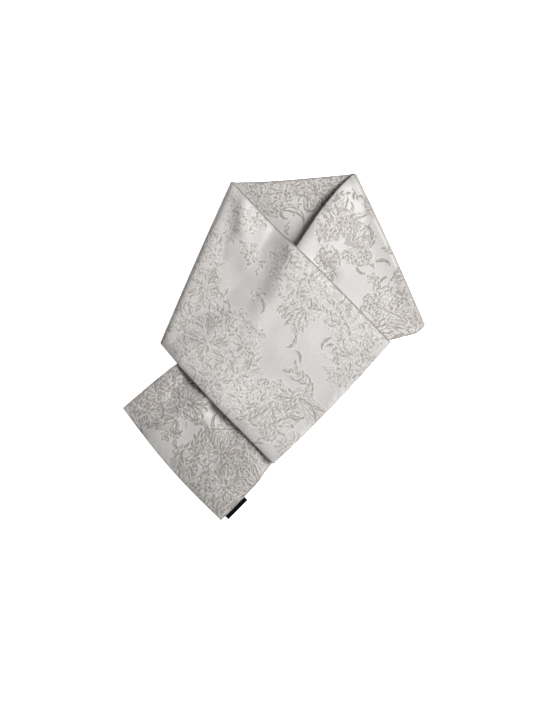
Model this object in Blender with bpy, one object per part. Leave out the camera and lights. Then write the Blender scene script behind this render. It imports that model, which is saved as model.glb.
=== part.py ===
# Padded jacquard scarf, laid flat and folded the way it is worn round a neck.
#
# One long padded strip.  Its middle, the neck stretch, lies on the table and shows in the V.
# At the right fold the strip turns up and over and runs down to the lower left: the under stretch.
# At the left fold it turns up and over and runs down to the lower right, on top: the over stretch.
# X is to the right, Y is up the scarf towards the neck edge, Z is up from the table, in metres.

from collections import namedtuple
from math import cos, exp, pi, sin

import bmesh
import bpy
import numpy as np
from mathutils import Vector
from mathutils.bvhtree import BVHTree

MM = 0.001

# Walls of the padded strip
WALL_MIDDLE = 7.2 * MM       # cloth, wadding and cloth, away from the seams
WALL_SEAM = 3.8 * MM         # along the long seams and the ends
WALL_LEAST = 2.2 * MM        # at the bottom of a crease
WALL_TURN = 6.4 * MM         # pressed thinner where the strip is folded over
CROWN_REACH = 26.0 * MM      # how far in from a seam the wadding comes to its full height
CROWN_POWER = 0.6            # below 1 the edge is rounder and the middle flatter
UNDER_END_REACH = 44.0 * MM  # and from the end seam of the under stretch, which has flattened
SEAM_GAP = 0.3 * MM          # between one stretch and the next, and between layers

# Folded turns
TURN_REACH = 8.0 * MM        # from the outline of a fold in to the line it turns about
TURN_RISE_MIDDLE = 8.0 * MM  # half the height of a turn in the middle of the strip
TURN_RISE_CORNER = 5.0 * MM  # and at its two corners, where the seams lie flat
TURN_SETTLE = 34.0 * MM      # past a turn, the layer comes down onto the one below within this

# How the strip is divided
ACROSS_STEPS = 16
TURN_STEPS = 9
NECK_STEPS = 14
OVER_STEPS = 22
UNDER_STEPS = 30

# Draping of one layer over another
DRAPE_CELL = 4.0 * MM
UNDER_DRAPE_CELLS = 7
OVER_DRAPE_CELLS = 4

# Woven loop label in the lower seam
LABEL_START = 9.5 * MM
LABEL_LENGTH = 41.0 * MM
LABEL_WIDTH = 6.6 * MM
LABEL_WALL = 1.0 * MM
LABEL_HEIGHT = 1.0 * MM
LABEL_STEPS = 6
LABEL_NOSE_STEPS = 5

# The outline of each fold, from its neck corner to its lower corner, how far the two seams run
# along it while they go round, and how far it swells out in the middle.  Millimetres.
Turn = namedtuple("Turn", "neck_x neck_y low_x low_y inward neck_start neck_run low_start low_run bow")
LEFT_TURN = Turn(-64.5, 246.8, -170.8, 4.6, 1, -3.0, 4.6, 259.7, 8.2, 0.8)
RIGHT_TURN = Turn(122.2, 260.2, 226.5, 32.2, -1, -1.6, 3.7, 246.7, 8.0, 1.8)

# Where the two long seams of each stretch lie, a row for each station along it, and how far the
# cloth between them bows towards the far end.  An end on a turn takes its place from the turn.
# Millimetres.
Station = namedtuple("Station", "along neck_x neck_y low_x low_y bow")
TURN_STATION = Station(0.0, None, None, None, None, 0.0)
NECK_STATIONS = [
    TURN_STATION,
    Station(0.35, -1.5, 248.0, -27.0, 10.5, 0.0),
    Station(0.70, 66.0, 253.6, 99.0, 19.5, 0.0),
    TURN_STATION._replace(along=1.0),
]
OVER_STATIONS = [
    TURN_STATION,
    Station(0.16, -20.0, 201.6, -141.0, -29.4, 0.0),
    Station(0.32, 9.0, 171.8, -113.5, -59.6, 0.0),
    Station(0.55, 70.5, 113.0, -78.5, -97.0, 1.5),
    Station(1.00, 174.6, 6.4, -1.0, -175.6, 3.8),
]
UNDER_STATIONS = [
    TURN_STATION,
    Station(0.06, 94.5, 234.0, 210.5, 18.6, 0.0),
    Station(0.14, 67.5, 200.2, 189.0, 13.2, 0.0),
    Station(0.24, 33.0, 149.2, 156.0, 0.5, 0.0),
    Station(0.40, -15.5, 72.0, 100.5, -62.0, 0.0),
    Station(0.56, -78.0, 18.0, 50.0, -118.0, 0.0),
    Station(0.74, -144.0, -24.8, -6.5, -179.2, 0.0),
    Station(0.84, -177.0, -50.2, -26.4, -206.2, 3.0),
    Station(1.00, -226.8, -92.4, -79.6, -261.2, 6.2),
]

# Soft ridges and troughs along the cloth, from one end to the other.  Millimetres.
Crease = namedtuple("Crease", "from_x from_y to_x to_y height spread")
OVER_CREASES = [
    Crease(-88, 208, -84, 140, -2.4, 12),
    Crease(4, 128, -42, 32, -2.6, 14),
]
UNDER_CREASES = [
    Crease(66, 126, 84, 106, -3.0, 11),
    Crease(-98, -84, -188, -132, 5.0, 14),
    Crease(-44, -172, -112, -214, 3.6, 17),
    Crease(-104, -158, -158, -190, -2.2, 13),
    Crease(-84, -98, -56, -130, -5.0, 12),
    Crease(-132, -50, -152, -70, -3.0, 12),
]
NECK_CREASES = [
    Crease(92, 252, 18, 166, -4.8, 17),
    Crease(28, 150, 24, 172, -2.4, 14),
    Crease(-44, 238, -6, 196, -1.6, 12),
]

# Ridges where the whole layer stands clear of the one below, in the same terms
OVER_LIFTS = [
    Crease(-54, 226, -45, 150, 5.4, 14),
    Crease(-16, 190, 2, 150, 2.6, 16),
    Crease(30, 110, -6, 40, 1.6, 17),
]
UNDER_LIFTS = [
    Crease(44, 152, 30, 128, 2.0, 16),
]


def smooth(t):
    """A step that leaves 0 and reaches 1 gently."""
    t = min(1.0, max(0.0, t))
    return t * t * (3.0 - 2.0 * t)


def crown(distance, reach=CROWN_REACH):
    """How full the wadding is at a distance in from a seam."""
    return sin(pi / 2.0 * min(1.0, max(0.0, distance / reach))) ** CROWN_POWER


def turn_rise(fullness):
    """Half the height of a turn, from the corners to the middle of the strip."""
    return TURN_RISE_CORNER + (TURN_RISE_MIDDLE - TURN_RISE_CORNER) * fullness


def crease_height(creases, place):
    """The sum of the soft ridges and troughs at one place, in metres."""
    total = 0.0
    for crease in creases:
        start = np.array([crease.from_x, crease.from_y]) * MM
        run = np.array([crease.to_x, crease.to_y]) * MM - start
        share = min(1.0, max(0.0, (place - start) @ run / (run @ run)))
        beside = np.linalg.norm(place - start - run * share)
        total += crease.height * MM * exp(-(beside / (crease.spread * MM)) ** 2)
    return total


def turn_frame(turn):
    """Corner, direction along the fold and direction into the scarf."""
    corner = np.array([turn.neck_x, turn.neck_y]) * MM
    along = np.array([turn.low_x, turn.low_y]) * MM - corner
    along = along / np.linalg.norm(along)
    inward = np.array([-along[1], along[0]]) * turn.inward
    return corner, along, inward


def turn_ends(turn, share):
    """Where the two seams are on the fold's line when this share of the turn is done."""
    corner, along, inward = turn_frame(turn)
    axis = corner + inward * TURN_REACH
    neck_end = axis + along * (turn.neck_start + turn.neck_run * share) * MM
    low_end = axis + along * (turn.low_start + turn.low_run * share) * MM
    return neck_end, low_end


def filled(stations, first_turn, first_share, last_turn=None):
    """The stations, as numbers, with each end that is on a turn taken from that turn."""
    ends = turn_ends(first_turn, first_share)
    rows = [[0.0, *ends[0], *ends[1], -first_turn.bow * MM]]
    rows += [[station.along] + [value * MM for value in station[1:]] for station in stations[1:]
             if station.neck_x is not None]
    if last_turn is not None:
        ends = turn_ends(last_turn, 0.0)
        rows.append([1.0, *ends[0], *ends[1], last_turn.bow * MM])
    rows = np.array(rows)
    rows[:, 5] *= first_turn.inward
    return rows


def bowed(neck_end, low_end, across, bow):
    """A place across the strip on a row that bows out by this much in the middle."""
    row = low_end - neck_end
    out = np.array([-row[1], row[0]]) / np.linalg.norm(row)
    return neck_end + row * across + out * bow * sin(pi * across)


def place_on(rows, along, across):
    """A place on a stretch, seen from above."""
    neck_end, low_end, bow = seam_points(rows, along)
    return bowed(neck_end, low_end, across, bow)


def seam_points(rows, along):
    """Both seams and the bow at one share of the length, on a smooth curve through the stations."""
    index = int(np.clip(np.searchsorted(rows[:, 0], along, side="right") - 1, 0, len(rows) - 2))
    start, end = rows[index], rows[index + 1]
    step = end[0] - start[0]
    before = rows[index - 1] if index > 0 else start
    after = rows[index + 2] if index + 2 < len(rows) else end
    slope_start = (end - before)[1:] / (end[0] - before[0])
    slope_end = (after - start)[1:] / (after[0] - start[0])
    t = (along - start[0]) / step
    point = ((2 * t**3 - 3 * t**2 + 1) * start[1:] + (t**3 - 2 * t**2 + t) * step * slope_start
             + (3 * t**2 - 2 * t**3) * end[1:] + (t**3 - t**2) * step * slope_end)
    return point[:2], point[2:4], point[4]


def across_shares():
    """Places across the strip, closer together near the two seams."""
    return [0.5 - 0.5 * cos(pi * step / ACROSS_STEPS) for step in range(ACROSS_STEPS + 1)]


def turn_sections(turn):
    """Rings of a turn, from the table round to the top, each as (outer, inner) points across."""
    corner, along, inward = turn_frame(turn)
    sections = []
    for step in range(TURN_STEPS):
        share = step / TURN_STEPS
        angle = pi * share
        neck_end, low_end = turn_ends(turn, share)
        width = np.linalg.norm(low_end - neck_end)
        outer, inner = [], []
        for across in across_shares():
            place = bowed(neck_end, low_end, across, -turn.bow * turn.inward * MM)
            fullness = crown(min(across, 1.0 - across) * width)
            wall = WALL_SEAM + (WALL_TURN - WALL_SEAM) * fullness
            rise = turn_rise(fullness)
            out = place - inward * TURN_REACH * sin(angle)
            into = place - inward * (TURN_REACH - wall) * sin(angle)
            outer.append((*out, rise - rise * cos(angle)))
            inner.append((*into, rise - (rise - wall) * cos(angle)))
        sections.append((outer, inner))
    return sections


def layer_sections(rows, steps, base, creases, lifts=(), end_reach=None):
    """Rings of a flat stretch on base(x, y), each as (outer, inner) points across.

    A folded stretch runs from its turn to an end seam, where the wadding comes to its full height
    over end_reach, and its outer cloth is on top.  Without end_reach the stretch runs from turn to
    turn and its outer cloth is below.  Creases change the wall, and lifts raise the whole layer.
    """
    folded = end_reach is not None
    sections = []
    for step in range(steps + 1):
        along = step / steps
        neck_end, low_end, bow = seam_points(rows, along)
        width = np.linalg.norm(low_end - neck_end)
        lower, upper = [], []
        for across in across_shares():
            place = bowed(neck_end, low_end, across, bow)
            from_turn = float(np.linalg.norm(place - place_on(rows, 0.0, across)))
            to_end = float(np.linalg.norm(place - place_on(rows, 1.0, across)))
            settle = smooth(from_turn / TURN_SETTLE)
            side = crown(min(across, 1.0 - across) * width)
            if folded:
                fullness = side * crown(to_end, end_reach)
            else:
                fullness = side
                settle *= smooth(to_end / TURN_SETTLE)
            middle = WALL_TURN + (WALL_MIDDLE - WALL_TURN) * settle
            wall = WALL_SEAM + (middle - WALL_SEAM) * fullness
            wall = max(WALL_LEAST, wall + crease_height(creases, place) * fullness * settle)
            floor = base(place)
            if folded:
                lifted = 2.0 * turn_rise(side) - wall
                floor = max(floor, lifted + (floor - lifted) * settle)
            floor += crease_height(lifts, place) * fullness * settle
            lower.append((*place, floor))
            upper.append((*place, floor + wall))
        sections.append((upper, lower) if folded else (lower, upper))
    return sections


def loft(name, sections, material):
    """One closed solid through rings of two rows of points, one for each side of the cloth."""
    form = bmesh.new()
    rings = []
    for outer, inner in sections:
        ring = list(outer) + list(reversed(inner))
        rings.append([form.verts.new(point) for point in ring])
    size = len(rings[0])
    for first, second in zip(rings, rings[1:]):
        for index in range(size):
            after = (index + 1) % size
            form.faces.new((first[index], first[after], second[after], second[index]))
    half = size // 2
    for ring in (rings[0], rings[-1]):
        for index in range(half - 1):
            form.faces.new((ring[index], ring[index + 1], ring[size - 2 - index], ring[size - 1 - index]))
    bmesh.ops.triangulate(form, faces=form.faces[:])
    bmesh.ops.recalc_face_normals(form, faces=form.faces[:])
    return finish(name, form, material)


def finish(name, form, material):
    """Turn a bmesh into a named object with its material, shaded smooth but crisp at the seams."""
    mesh = bpy.data.meshes.new(name)
    form.to_mesh(mesh)
    form.free()
    mesh.shade_smooth()
    mesh.set_sharp_from_angle(angle=pi / 3.0)
    mesh.materials.append(material)
    piece = bpy.data.objects.new(name, mesh)
    bpy.context.scene.collection.objects.link(piece)
    return piece


def top_surface(pieces, reach_cells):
    """A function that gives the height of cloth that comes off the pieces over this many cells."""
    trees = []
    for piece in pieces:
        form = bmesh.new()
        form.from_mesh(piece.data)
        trees.append(BVHTree.FromBMesh(form))
        form.free()
    corners = np.array([vertex.co[:2] for piece in pieces for vertex in piece.data.vertices])
    margin = 2 * reach_cells * DRAPE_CELL
    low = corners.min(axis=0) - margin
    counts = np.ceil((corners.max(axis=0) + margin - low) / DRAPE_CELL).astype(int) + 1
    heights = np.zeros(counts)
    above = 1.0
    down = Vector((0.0, 0.0, -1.0))
    for column in range(counts[0]):
        for row in range(counts[1]):
            x, y = low + np.array([column, row]) * DRAPE_CELL
            for tree in trees:
                hit = tree.ray_cast(Vector((x, y, above)), down)[0]
                if hit is not None:
                    heights[column, row] = max(heights[column, row], hit.z)
    offsets = [(i, j) for i in range(-reach_cells, reach_cells + 1)
               for j in range(-reach_cells, reach_cells + 1)
               if i * i + j * j <= reach_cells**2 + 1]
    shifted = [np.roll(heights, offset, axis=(0, 1)) for offset in offsets]
    spread = np.max(shifted, axis=0)
    eased = np.mean([np.roll(spread, offset, axis=(0, 1)) for offset in offsets], axis=0)

    def height(place):
        cell = (place - low) / DRAPE_CELL
        i, j = np.clip(np.floor(cell).astype(int), 0, counts - 2)
        u, v = np.clip(cell - (i, j), 0.0, 1.0)
        value = float((1 - u) * (1 - v) * eased[i, j] + u * (1 - v) * eased[i + 1, j]
                      + (1 - u) * v * eased[i, j + 1] + u * v * eased[i + 1, j + 1])
        return value + SEAM_GAP if value > 0.0 else 0.0

    return height


def make_material(name, colour, roughness):
    """A plain cloth finish in the photographed colour."""
    material = bpy.data.materials.new(name)
    material.use_nodes = True
    shader = material.node_tree.nodes["Principled BSDF"]
    shader.inputs["Base Color"].default_value = (*colour, 1.0)
    shader.inputs["Roughness"].default_value = roughness
    shader.inputs["Metallic"].default_value = 0.0
    return material


def make_neck_stretch(material):
    """The middle of the strip, flat on the table between the two folds."""
    rows = filled(NECK_STATIONS, LEFT_TURN, 0.0, RIGHT_TURN)
    for row, turn in ((rows[0], LEFT_TURN), (rows[-1], RIGHT_TURN)):
        inward = turn_frame(turn)[2]
        row[1:3] += inward * SEAM_GAP
        row[3:5] += inward * SEAM_GAP
    sections = layer_sections(rows, NECK_STEPS, lambda place: 0.0, NECK_CREASES)
    return loft("neck_stretch", sections, material)


def make_under_stretch(material, neck):
    """From the right fold down to the lower left, on the neck stretch and then on the table."""
    rows = filled(UNDER_STATIONS, RIGHT_TURN, 1.0)
    sections = turn_sections(RIGHT_TURN)
    base = top_surface([neck], UNDER_DRAPE_CELLS)
    sections += layer_sections(rows, UNDER_STEPS, base, UNDER_CREASES, UNDER_LIFTS, UNDER_END_REACH)
    return loft("under_stretch", sections, material)


def make_over_stretch(material, neck, under):
    """From the left fold down to the lower right, on top of both other stretches."""
    rows = filled(OVER_STATIONS, LEFT_TURN, 1.0)
    sections = turn_sections(LEFT_TURN)
    base = top_surface([neck, under], OVER_DRAPE_CELLS)
    sections += layer_sections(rows, OVER_STEPS, base, OVER_CREASES, OVER_LIFTS, CROWN_REACH)
    return loft("over_stretch", sections, material)


def make_label(material):
    """A narrow woven loop caught in the lower seam, near the end of the under stretch."""
    rows = filled(UNDER_STATIONS, RIGHT_TURN, 1.0)
    end = seam_points(rows, 1.0)[1]
    edge = []
    along = 1.0
    while len(edge) <= LABEL_STEPS:
        point = seam_points(rows, along)[1]
        wanted = LABEL_START + LABEL_LENGTH * len(edge) / LABEL_STEPS
        if np.linalg.norm(point - end) >= wanted:
            edge.append(point)
        along -= 0.0005
    sections = []
    direction = (edge[-1] - edge[0]) / np.linalg.norm(edge[-1] - edge[0])
    outward = np.array([-direction[1], direction[0]]) * -1.0
    for point in edge:
        ring = [(*(point + outward * SEAM_GAP), LABEL_HEIGHT)]
        for step in range(LABEL_NOSE_STEPS + 1):
            angle = pi * step / LABEL_NOSE_STEPS - pi / 2.0
            reach = LABEL_WIDTH - LABEL_WALL / 2.0 + LABEL_WALL / 2.0 * cos(angle)
            height = LABEL_HEIGHT + LABEL_WALL / 2.0 * (1.0 + sin(angle))
            ring.append((*(point + outward * (SEAM_GAP + reach)), height))
        ring.append((*(point + outward * SEAM_GAP), LABEL_HEIGHT + LABEL_WALL))
        half = len(ring) // 2
        sections.append((ring[:half], list(reversed(ring[half:]))))
    return loft("label", sections, material)


def clear_scene():
    for piece in list(bpy.data.objects):
        bpy.data.objects.remove(piece, do_unlink=True)


def main():
    clear_scene()
    jacquard = make_material("silver_jacquard", (0.56, 0.545, 0.53), 0.5)
    woven_black = make_material("woven_black", (0.012, 0.012, 0.013), 0.6)
    neck = make_neck_stretch(jacquard)
    under = make_under_stretch(jacquard, neck)
    make_over_stretch(jacquard, neck, under)
    make_label(woven_black)


main()
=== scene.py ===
# Padded silver jacquard scarf, laid flat and crossed over the way it is worn round a neck.
from math import cos, pi, radians, sin

import bpy
import numpy as np
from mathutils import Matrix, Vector
from mathutils.bvhtree import BVHTree


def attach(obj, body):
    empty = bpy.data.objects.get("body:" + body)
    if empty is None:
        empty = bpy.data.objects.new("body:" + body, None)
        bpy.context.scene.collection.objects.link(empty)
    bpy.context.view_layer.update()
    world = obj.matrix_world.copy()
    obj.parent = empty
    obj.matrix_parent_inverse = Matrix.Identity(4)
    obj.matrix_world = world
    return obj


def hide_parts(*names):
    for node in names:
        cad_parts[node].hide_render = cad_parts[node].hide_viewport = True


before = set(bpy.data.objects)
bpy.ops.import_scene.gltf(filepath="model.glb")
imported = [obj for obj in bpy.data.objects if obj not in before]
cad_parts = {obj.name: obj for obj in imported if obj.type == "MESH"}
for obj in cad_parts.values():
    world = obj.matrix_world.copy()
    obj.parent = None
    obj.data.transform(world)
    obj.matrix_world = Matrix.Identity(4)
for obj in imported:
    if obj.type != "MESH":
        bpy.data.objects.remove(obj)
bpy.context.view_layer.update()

mm = 0.001

# Lengths below are millimetres.  X is right, Y is up towards the neck edge, Z is up from the table.
cloth = {
    "width": 252.0,
    "wallMiddle": 7.2,       # two faces of cloth and the wadding
    "wallSeam": 3.8,
    "wallLeast": 2.2,        # at the bottom of a crease
    "wallTurn": 6.4,         # pressed thinner where the strip is folded
    "crownReach": 17.0,      # the wadding is full this far in from a seam
    "crownPower": 0.6,       # below 1 the edge is rounder and the middle flatter
    "seamRoll": 1.2,         # radius of the rolled edge
    "foldReach": 8.0,
    "foldRiseMiddle": 8.0,
    "foldRiseCorner": 5.0,
    "foldSettle": 34.0,      # past a fold the layer has come down onto the next within this
    "layerGap": 0.3,
    "stretchLength": 300.0,  # that the room for a rolled end is reckoned on
    "edgeCrowding": 0.06,    # how much closer the points lie near the seams
    "puckerHeight": 0.16,    # small gathers along the seams
    "puckerWaves": (9.0, 21.0),
    "puckerStart": 4.0,      # they reach their height this far from the seam
    "puckerReach": 15.0,
    "lumpHeight": 0.16,      # unevenness of the wadding
    "lumpWaves": (34.0, 90.0),
    "seed": 7,
}

# The two folds: their outline from neck corner to low corner, where the seams go round,
# and how far the outline swells in the middle
leftFold = {
    "neckCorner": (-64.5, 246.8), "lowCorner": (-170.8, 4.6), "inward": 1,
    "neckRun": (-3.0, 4.6), "lowRun": (259.7, 8.2), "bow": 0.8,
}
rightFold = {
    "neckCorner": (122.2, 260.2), "lowCorner": (226.5, 32.2), "inward": -1,
    "neckRun": (-1.6, 3.7), "lowRun": (246.7, 8.0), "bow": 1.8,
}


def smoothStep(t):
    t = np.clip(t, 0.0, 1.0)
    return t * t * (3.0 - 2.0 * t)


def crown(distance, reach):
    return np.sin(pi / 2.0 * np.clip(distance / reach, 0.0, 1.0)) ** cloth["crownPower"]


def bell(distance, width):
    return np.exp(-(distance / width) ** 2)


def unit(vectors):
    return vectors / np.maximum(np.linalg.norm(vectors, axis=-1, keepdims=True), 1e-9)


def wobble(x, y, shortest, longest, seed, waves=14):
    # a calm uneven surface from a few crossing waves, about -1 to 1
    chance = np.random.default_rng(seed)
    total = np.zeros(np.broadcast(x, y).shape)
    for _ in range(waves):
        heading, start = chance.uniform(0.0, 2.0 * pi, 2)
        pace = 2.0 * pi / chance.uniform(shortest, longest)
        total += np.sin((x * cos(heading) + y * sin(heading)) * pace + start)
    return total / waves ** 0.5


def foldFrame(fold):
    # seen from above: a fold's neck corner, the way along it and the way in from it
    corner = np.array(fold["neckCorner"])
    along = np.array(fold["lowCorner"]) - corner
    along = along / np.linalg.norm(along)
    inward = np.array([-along[1], along[0]]) * fold["inward"]
    return corner, along, inward


def foldEnds(fold, share):
    # both ends of a fold's axis, at a share of the turn
    corner, along, inward = foldFrame(fold)
    axis = corner + inward * cloth["foldReach"]
    neckEnd = axis + along * (fold["neckRun"][0] + fold["neckRun"][1] * share)
    lowEnd = axis + along * (fold["lowRun"][0] + fold["lowRun"][1] * share)
    return neckEnd, lowEnd


def planRows(piece):
    # rows of along, neck seam x y, low seam x y, bow, with the ends on a fold taken from it
    fold = piece["fold"]
    share = 1.0 if piece["folded"] else 0.0
    ends = foldEnds(fold, share)
    rows = [[0.0, *ends[0], *ends[1], -fold["bow"]]] + [list(row) for row in piece["stations"]]
    if not piece["folded"]:
        ends = foldEnds(piece["lastFold"], 0.0)
        rows.append([1.0, *ends[0], *ends[1], piece["lastFold"]["bow"]])
        for row, inward in ((rows[0], foldFrame(fold)[2]), (rows[-1], foldFrame(piece["lastFold"])[2])):
            row[1:5] = np.array(row[1:5]) + np.tile(inward, 2) * cloth["layerGap"]
    rows = np.array(rows)
    rows[:, 5] *= fold["inward"]
    return rows


def seamCurve(rows, along):
    # a smooth curve through the rows at each share of the length
    cell = np.clip(np.searchsorted(rows[:, 0], along, side="right") - 1, 0, len(rows) - 2)
    start, end = rows[cell], rows[cell + 1]
    before, after = rows[np.maximum(cell - 1, 0)], rows[np.minimum(cell + 2, len(rows) - 1)]
    step = (end - start)[:, :1]
    slopeStart = (end - before)[:, 1:] / (end - before)[:, :1]
    slopeEnd = (after - start)[:, 1:] / (after - start)[:, :1]
    t = (along[:, None] - start[:, :1]) / step
    return ((2 * t**3 - 3 * t**2 + 1) * start[:, 1:] + (t**3 - 2 * t**2 + t) * step * slopeStart
            + (3 * t**2 - 2 * t**3) * end[:, 1:] + (t**3 - t**2) * step * slopeEnd)


def bowed(seams, across):
    # places across each row, shape (rows, across, 2)
    neckEnd, lowEnd, bow = seams[:, None, 0:2], seams[:, None, 2:4], seams[:, None, 4:5]
    row = lowEnd - neckEnd
    out = np.stack([-row[..., 1], row[..., 0]], axis=-1) / np.linalg.norm(row, axis=-1, keepdims=True)
    share = across[None, :, None]
    return neckEnd + row * share + out * bow * np.sin(pi * share)


def acrossShares(count):
    # across the strip from one rolled edge to the other, a little closer near them
    inset = cloth["seamRoll"] / cloth["width"]
    t = np.linspace(0.0, 1.0, count)
    eased = t - cloth["edgeCrowding"] * np.sin(2.0 * pi * t) / (2.0 * pi)
    return inset + (1.0 - 2.0 * inset) * eased


def sideDistance(seams, across):
    # how far each place is from the nearer seam
    width = np.linalg.norm(seams[:, 2:4] - seams[:, 0:2], axis=-1)[:, None]
    return np.minimum(across, 1.0 - across)[None, :] * width


def creaseHeight(creases, place):
    # ridges, or creases where the height is below 0, each along a straight line
    total = np.zeros(place.shape[:-1])
    for fromX, fromY, toX, toY, height, spread in creases:
        start, run = np.array([fromX, fromY]), np.array([toX - fromX, toY - fromY])
        offset = place - start
        share = np.clip(offset @ run / (run @ run), 0.0, 1.0)
        beside = np.linalg.norm(offset - share[..., None] * run, axis=-1)
        total += height * bell(beside, spread)
    return total


def wallThickness(piece, place, fullness, settle, toSeam):
    # full in the middle, thin at the seams and folds, with creases, gathers and lumps
    middle = cloth["wallTurn"] + (cloth["wallMiddle"] - cloth["wallTurn"]) * settle
    wall = cloth["wallSeam"] + (middle - cloth["wallSeam"]) * fullness
    wall = wall + creaseHeight(piece["creases"], place) * fullness * settle
    wall = np.maximum(cloth["wallLeast"], wall)
    x, y = place[..., 0], place[..., 1]
    gathers = wobble(x, y, *cloth["puckerWaves"], cloth["seed"]) * bell(toSeam, cloth["puckerReach"])
    lumps = wobble(x, y, *cloth["lumpWaves"], cloth["seed"] + 1) * fullness
    return wall + (gathers * cloth["puckerHeight"] * smoothStep(toSeam / cloth["puckerStart"])
                   + lumps * cloth["lumpHeight"]) * settle


def layerHeights(piece, rows, along, across, floorHeight):
    # plan places, lower and upper height of the flat part of a stretch
    seams = seamCurve(rows, along)
    place = bowed(seams, across)
    first, last = (bowed(seamCurve(rows, np.array([end])), across) for end in (0.0, 1.0))
    toSide = sideDistance(seams, across)
    toEnd = np.linalg.norm(place - last, axis=-1)
    side = crown(toSide, cloth["crownReach"])
    settle = smoothStep(np.linalg.norm(place - first, axis=-1) / cloth["foldSettle"])
    if piece["folded"]:
        fullness = side * crown(toEnd, piece["endReach"])
        toSeam = np.minimum(toSide, toEnd)
    else:
        fullness = side
        settle = settle * smoothStep(toEnd / cloth["foldSettle"])
        toSeam = toSide
    wall = wallThickness(piece, place, fullness, settle, toSeam)
    lower = floorHeight(place)
    if piece["folded"]:
        lifted = 2.0 * foldRise(side) - wall
        lower = np.maximum(lower, lifted + (lower - lifted) * settle)
        lower = lower + creaseHeight(piece["lifts"], place) * settle
    return place, lower, lower + wall


def foldRise(fullness):
    # half the height of a turn, less at its corners
    return cloth["foldRiseCorner"] + (cloth["foldRiseMiddle"] - cloth["foldRiseCorner"]) * fullness


def foldSheets(piece, steps, across):
    # outer and inner cloth of a turn, and the plan place each point had before it was folded
    fold = piece["fold"]
    inward = foldFrame(fold)[2]
    angles = pi * np.arange(steps) / steps
    ends = np.array([np.concatenate(foldEnds(fold, angle / pi)) for angle in angles])
    seams = np.column_stack([ends, np.full(steps, -fold["bow"] * fold["inward"])])
    place = bowed(seams, across)
    fullness = crown(sideDistance(seams, across), cloth["crownReach"])
    wall = cloth["wallSeam"] + (cloth["wallTurn"] - cloth["wallSeam"]) * fullness
    rise = foldRise(fullness)
    turn = angles[:, None]
    sheets = []
    for depth in (np.zeros_like(wall), wall):
        out = (cloth["foldReach"] - depth) * np.sin(turn)
        xy = place - inward * out[..., None]
        z = rise - (rise - depth) * np.cos(turn)
        sheets.append(np.concatenate([xy, z[..., None]], axis=-1))
    flat = place - inward * (cloth["foldReach"] * (pi - turn))[..., None]
    return *sheets, flat


def rayHeights(layers, pieces, low, counts, cell):
    # the top of the pieces on a grid, 0 where there is none
    trees = [BVHTree.FromPolygons(points, [tuple(face.vertices) for face in piece.data.polygons])
             for points, piece in zip(layers, pieces)]
    heights = np.zeros(counts)
    down = Vector((0.0, 0.0, -1.0))
    for column in range(counts[0]):
        for row in range(counts[1]):
            above = Vector((low[0] + column * cell, low[1] + row * cell, 100.0))
            for tree in trees:
                hit = tree.ray_cast(above, down)[0]
                if hit is not None:
                    heights[column, row] = max(heights[column, row], hit.z)
    return heights


def topSurface(pieces, reach):
    # the height of soft cloth laid over the pieces, as a function of plan places
    cell = 2.0
    layers = [[vertex.co / mm for vertex in piece.data.vertices] for piece in pieces]
    places = np.array([(point.x, point.y) for points in layers for point in points])
    low = places.min(axis=0) - 2 * reach - cell
    counts = np.ceil((places.max(axis=0) + 2 * reach + cell - low) / cell).astype(int) + 1
    heights = rayHeights(layers, pieces, low, counts, cell)
    around = int(round(reach / cell))
    disc = [(i, j) for i in range(-around, around + 1) for j in range(-around, around + 1)
            if i * i + j * j <= around**2 + 1]
    spread = heights
    for offset in disc:
        spread = np.maximum(spread, np.roll(heights, offset, axis=(0, 1)))
    eased = np.zeros(counts)
    for offset in disc:
        eased += np.roll(spread, offset, axis=(0, 1)) / len(disc)

    def height(place):
        spot = (place - low) / cell
        corner = np.clip(np.floor(spot).astype(int), 0, counts - 2)
        u, v = np.moveaxis(np.clip(spot - corner, 0.0, 1.0), -1, 0)
        i, j = corner[..., 0], corner[..., 1]
        value = ((1 - u) * (1 - v) * eased[i, j] + u * (1 - v) * eased[i + 1, j]
                 + (1 - u) * v * eased[i, j + 1] + u * v * eased[i + 1, j + 1])
        return np.where(value > 0.0, value + cloth["layerGap"], 0.0)

    return height


# The figure of the jacquard: flowers, leaves and stems drawn petal by petal, one over another.
# Places are measured from a petal's edge, below 0 inside it.
figure = {
    "ruffle": 0.6,                              # how uneven a petal's edge is
    "clearing": 1.9, "clearFade": 0.9,          # how far a petal clears what lies under it
    "lineAt": -0.7, "lineWidth": 1.15,          # the dark line
    "paleAt": 1.3, "paleWidth": 0.8,            # the pale line outside the edge
    "innerAt": -2.9, "innerWidth": 1.0,         # the pale line inside it
    "ribsFrom": -3.2, "ribEvery": 3.4,          # ribs of a large petal, from one to the next
    "leastFill": 0.28,                          # the palest petal is this dark
    "margin": 2.8,                              # a petal is drawn this far past its edge
    "petalRings": ((1.0, 9), (0.78, 7), (0.55, 5), (0.32, 3)),      # size and petals of each ring
    "leavesPerArea": 0.019, "leafLength": (20.0, 44.0), "leafHalf": (1.9, 4.2),     # of a thicket
    "backShift": 14.0,                          # moves the flowers on the face against the table
    "sides": (-150.0, 150.0),                   # left and right, where each piece gives the painted shade of its figure
}
drawnFields = ("fill", "line", "gleam")


def bentPath(x, y, heading, length, bend, steps=9, curl=1.0, sway=0.0):
    # a smooth stroke whose heading turns by bend from root to tip
    share = (np.arange(steps - 1) + 0.5) / (steps - 1)
    headings = heading + bend * share**curl + sway * np.sin(share * 5.0)
    points = np.zeros((steps, 2))
    points[1:, 0] = np.cumsum(np.cos(headings)) * length / (steps - 1)
    points[1:, 1] = np.cumsum(np.sin(headings)) * length / (steps - 1)
    return points + (x, y)


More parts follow.
